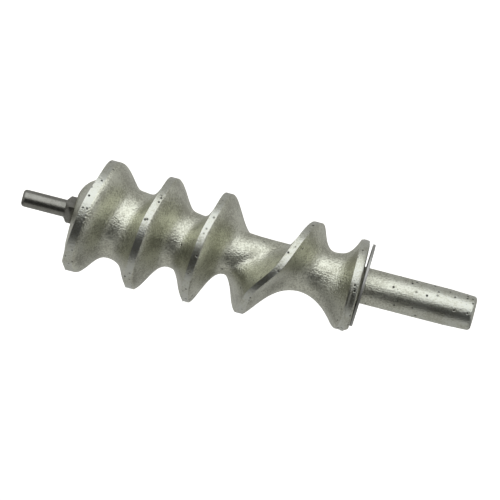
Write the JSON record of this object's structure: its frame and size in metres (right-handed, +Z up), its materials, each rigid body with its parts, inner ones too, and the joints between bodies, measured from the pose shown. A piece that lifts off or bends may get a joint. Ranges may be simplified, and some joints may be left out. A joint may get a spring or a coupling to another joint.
{
  "type": "meat mincer feed worm",
  "caption": "Cast left-hand feed worm of a meat mincer, with a squared knife spindle at the front and a plain driving shank with a loose thrust washer behind.",
  "frame": {"origin": "centre of the worm's front face, where the knife square starts, on the worm's axis", "axes": "+X along the worm's axis from the knife spindle towards the shank; +Z up, as the worm lies; +Y completes the right-handed frame"},
  "size_m": [0.331, 0.0845, 0.0852],
  "materials": {
    "casting": "tinned, grainy as cast, ground bright on the lands",
    "spindle": "turned, dark",
    "washer": "pale, plain"
  },
  "bodies": {
    "root": {"worm": "casting", "knife_spindle": "spindle", "thrust_washer": "washer"}
  },
  "joints": []
}
